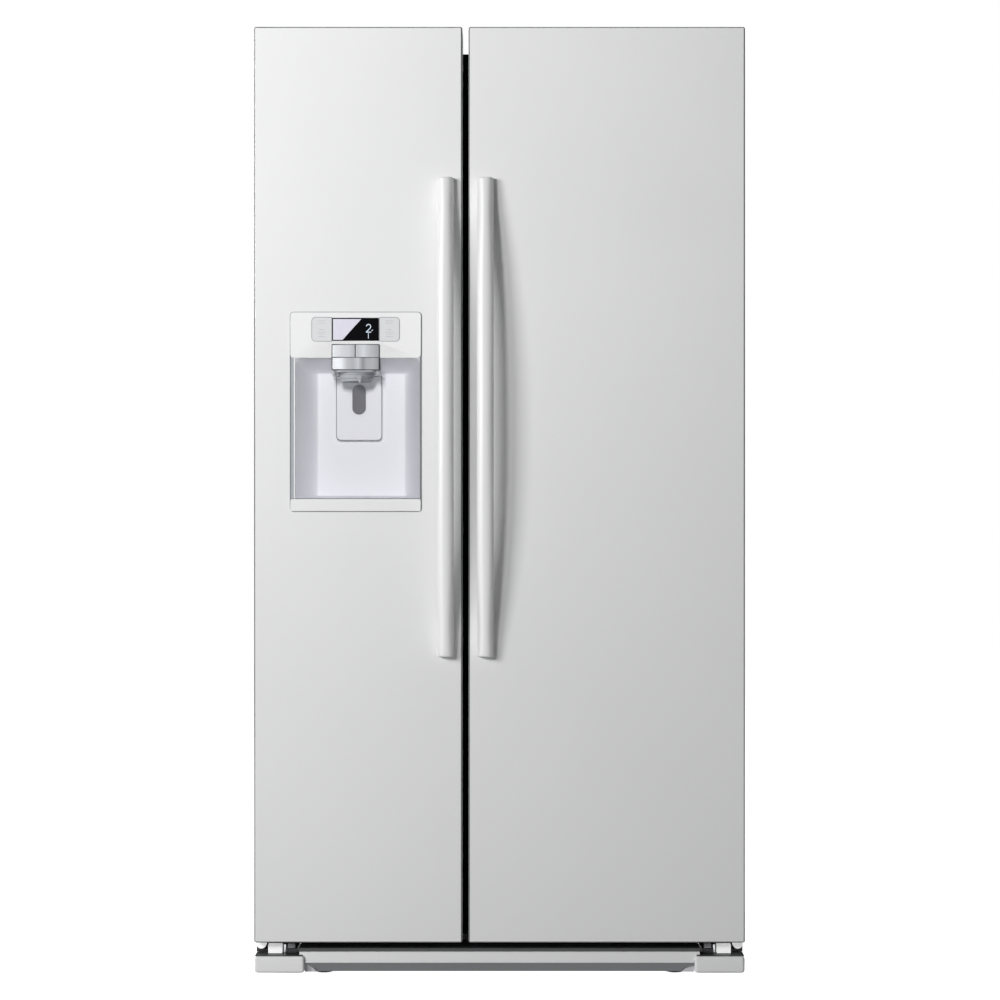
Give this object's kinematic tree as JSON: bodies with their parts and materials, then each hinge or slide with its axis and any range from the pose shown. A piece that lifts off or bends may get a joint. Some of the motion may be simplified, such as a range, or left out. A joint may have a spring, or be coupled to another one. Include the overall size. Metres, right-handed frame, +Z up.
{
  "type": "side by side refrigerator",
  "caption": "Side by side refrigerator and freezer with hinged doors, bowed bar handles and an ice and water dispenser in the freezer door.",
  "frame": {"origin": "on the floor, under the centre of the bounding box", "axes": "+Z up, doors face -Y, +X to the right as seen from the front"},
  "size_m": [0.9098, 0.895, 1.779],
  "materials": {
    "white_steel": "gloss",
    "foam": "matte",
    "white_lining": "satin",
    "white_plastic": "gloss",
    "recess_plastic": "satin",
    "handle_satin": "satin",
    "satin_metal": "satin",
    "zinc_steel": "satin",
    "black_steel": "satin",
    "aluminium": "satin",
    "grey_plastic": "matte",
    "shelf_glass": "gloss",
    "clear_plastic": "gloss",
    "gasket_rubber": "matte",
    "dark_rubber": "matte"
  },
  "bodies": {
    "cabinet": {"cabinet_wrap": "white_steel", "cabinet_foam": "foam", "freezer_liner": "white_lining", "fridge_liner": "white_lining", "back_panel": "zinc_steel", "base_frame": "zinc_steel", "machine_cover": "zinc_steel", "cord_gland": "dark_rubber", "leg_cover": "white_plastic", "top_hinge_left": "zinc_steel", "top_hinge_right": "zinc_steel", "hinge_cover_left": "white_plastic", "hinge_cover_right": "white_plastic", "bottom_hinge_left": "zinc_steel", "bottom_hinge_right": "zinc_steel", "compressor": "black_steel", "condenser": "black_steel", "evaporator": "aluminium", "evaporator_cover": "white_lining", "duct_cover": "white_lining", "freezer_shelf_lower": "shelf_glass", "freezer_shelf_upper": "shelf_glass", "fridge_shelf_lower": "shelf_glass", "fridge_shelf_upper": "shelf_glass", "crisper_cover": "shelf_glass", "ice_maker": "grey_plastic"},
    "freezer_door": {"freezer_door_skin": "white_steel", "freezer_door_foam": "foam", "freezer_door_liner": "white_lining", "freezer_gasket": "gasket_rubber", "freezer_handle": "handle_satin", "freezer_bin": "clear_plastic", "dispenser_housing": "recess_plastic", "control_panel": "white_plastic", "drip_tray": "white_plastic", "dispenser_band": "satin_metal", "dispenser_spout": "clear_plastic"},
    "fridge_door": {"fridge_door_skin": "white_steel", "fridge_door_foam": "foam", "fridge_door_liner": "white_lining", "fridge_gasket": "gasket_rubber", "fridge_handle": "handle_satin", "fridge_bin": "clear_plastic", "dairy_tray": "clear_plastic"},
    "dairy_cover": {"dairy_cover": "clear_plastic"},
    "dispenser_lever": {"dispenser_lever": "recess_plastic"},
    "ice_button": {"ice_button": "satin_metal"},
    "water_button": {"water_button": "satin_metal"},
    "ice_bucket": {"ice_bucket": "clear_plastic"},
    "freezer_drawer_lower": {"freezer_drawer_lower": "clear_plastic"},
    "freezer_drawer_upper": {"freezer_drawer_upper": "clear_plastic"},
    "crisper_lower": {"crisper_lower": "clear_plastic"},
    "crisper_upper": {"crisper_upper": "clear_plastic"},
    "condenser_fan": {"condenser_fan": "grey_plastic"},
    "roller_front_left": {"roller_front_left": "dark_rubber"},
    "roller_front_right": {"roller_front_right": "dark_rubber"},
    "roller_rear_left": {"roller_rear_left": "dark_rubber"},
    "roller_rear_right": {"roller_rear_right": "dark_rubber"},
    "levelling_foot_left": {"levelling_foot_left": "dark_rubber"},
    "levelling_foot_right": {"levelling_foot_right": "dark_rubber"}
  },
  "joints": [
    {"name": "freezer_door_hinge", "type": "hinge", "parent": "cabinet", "child": "freezer_door", "pos_m": [-0.43, -0.33, 0.082], "axis": [0, 0, -1], "range_deg": [0, 120]},
    {"name": "fridge_door_hinge", "type": "hinge", "parent": "cabinet", "child": "fridge_door", "pos_m": [0.43, -0.33, 0.082], "axis": [0, 0, 1], "range_deg": [0, 120]},
    {"name": "dairy_cover_hinge", "type": "hinge", "parent": "fridge_door", "child": "dairy_cover", "pos_m": [0.188, -0.1955, 1.64], "axis": [1, 0, 0], "range_deg": [0, 90]},
    {"name": "dispenser_lever_hinge", "type": "hinge", "parent": "freezer_door", "child": "dispenser_lever", "pos_m": [-0.26625, -0.288, 1.134], "axis": [1, 0, 0], "range_deg": [0, 4.5], "stiffness_Nm_per_rad": 0.6, "springref_deg": -2.86},
    {"name": "ice_button_slide", "type": "slide", "parent": "freezer_door", "child": "ice_button", "axis": [0, 1, 0], "range_m": [0, 0.0015], "stiffness_N_per_m": 600, "springref_m": -0.001},
    {"name": "water_button_slide", "type": "slide", "parent": "freezer_door", "child": "water_button", "axis": [0, 1, 0], "range_m": [0, 0.0015], "stiffness_N_per_m": 600, "springref_m": -0.001},
    {"name": "ice_bucket_slide", "type": "slide", "parent": "cabinet", "child": "ice_bucket", "axis": [0, -1, 0], "range_m": [0, 0.11]},
    {"name": "freezer_drawer_lower_slide", "type": "slide", "parent": "cabinet", "child": "freezer_drawer_lower", "axis": [0, -1, 0], "range_m": [0, 0.145]},
    {"name": "freezer_drawer_upper_slide", "type": "slide", "parent": "cabinet", "child": "freezer_drawer_upper", "axis": [0, -1, 0], "range_m": [0, 0.145]},
    {"name": "crisper_lower_slide", "type": "slide", "parent": "cabinet", "child": "crisper_lower", "axis": [0, -1, 0], "range_m": [0, 0.145]},
    {"name": "crisper_upper_slide", "type": "slide", "parent": "cabinet", "child": "crisper_upper", "axis": [0, -1, 0], "range_m": [0, 0.145]},
    {"name": "condenser_fan_spin", "type": "hinge", "parent": "cabinet", "child": "condenser_fan", "pos_m": [-0.105, 0.33, 0.178], "axis": [1, 0, 0], "continuous": true},
    {"name": "roller_front_left_spin", "type": "hinge", "parent": "cabinet", "child": "roller_front_left", "pos_m": [-0.4, -0.22, 0.02], "axis": [1, 0, 0], "continuous": true},
    {"name": "roller_front_right_spin", "type": "hinge", "parent": "cabinet", "child": "roller_front_right", "pos_m": [0.4, -0.22, 0.02], "axis": [1, 0, 0], "continuous": true},
    {"name": "roller_rear_left_spin", "type": "hinge", "parent": "cabinet", "child": "roller_rear_left", "pos_m": [-0.4, 0.365, 0.02], "axis": [1, 0, 0], "continuous": true},
    {"name": "roller_rear_right_spin", "type": "hinge", "parent": "cabinet", "child": "roller_rear_right", "pos_m": [0.4, 0.365, 0.02], "axis": [1, 0, 0], "continuous": true},
    {"name": "levelling_foot_left_screw", "type": "hinge", "parent": "cabinet", "child": "levelling_foot_left", "pos_m": [-0.335, -0.245, 0], "axis": [0, 0, 1], "continuous": true},
    {"name": "levelling_foot_right_screw", "type": "hinge", "parent": "cabinet", "child": "levelling_foot_right", "pos_m": [0.335, -0.245, 0], "axis": [0, 0, 1], "continuous": true}
  ]
}
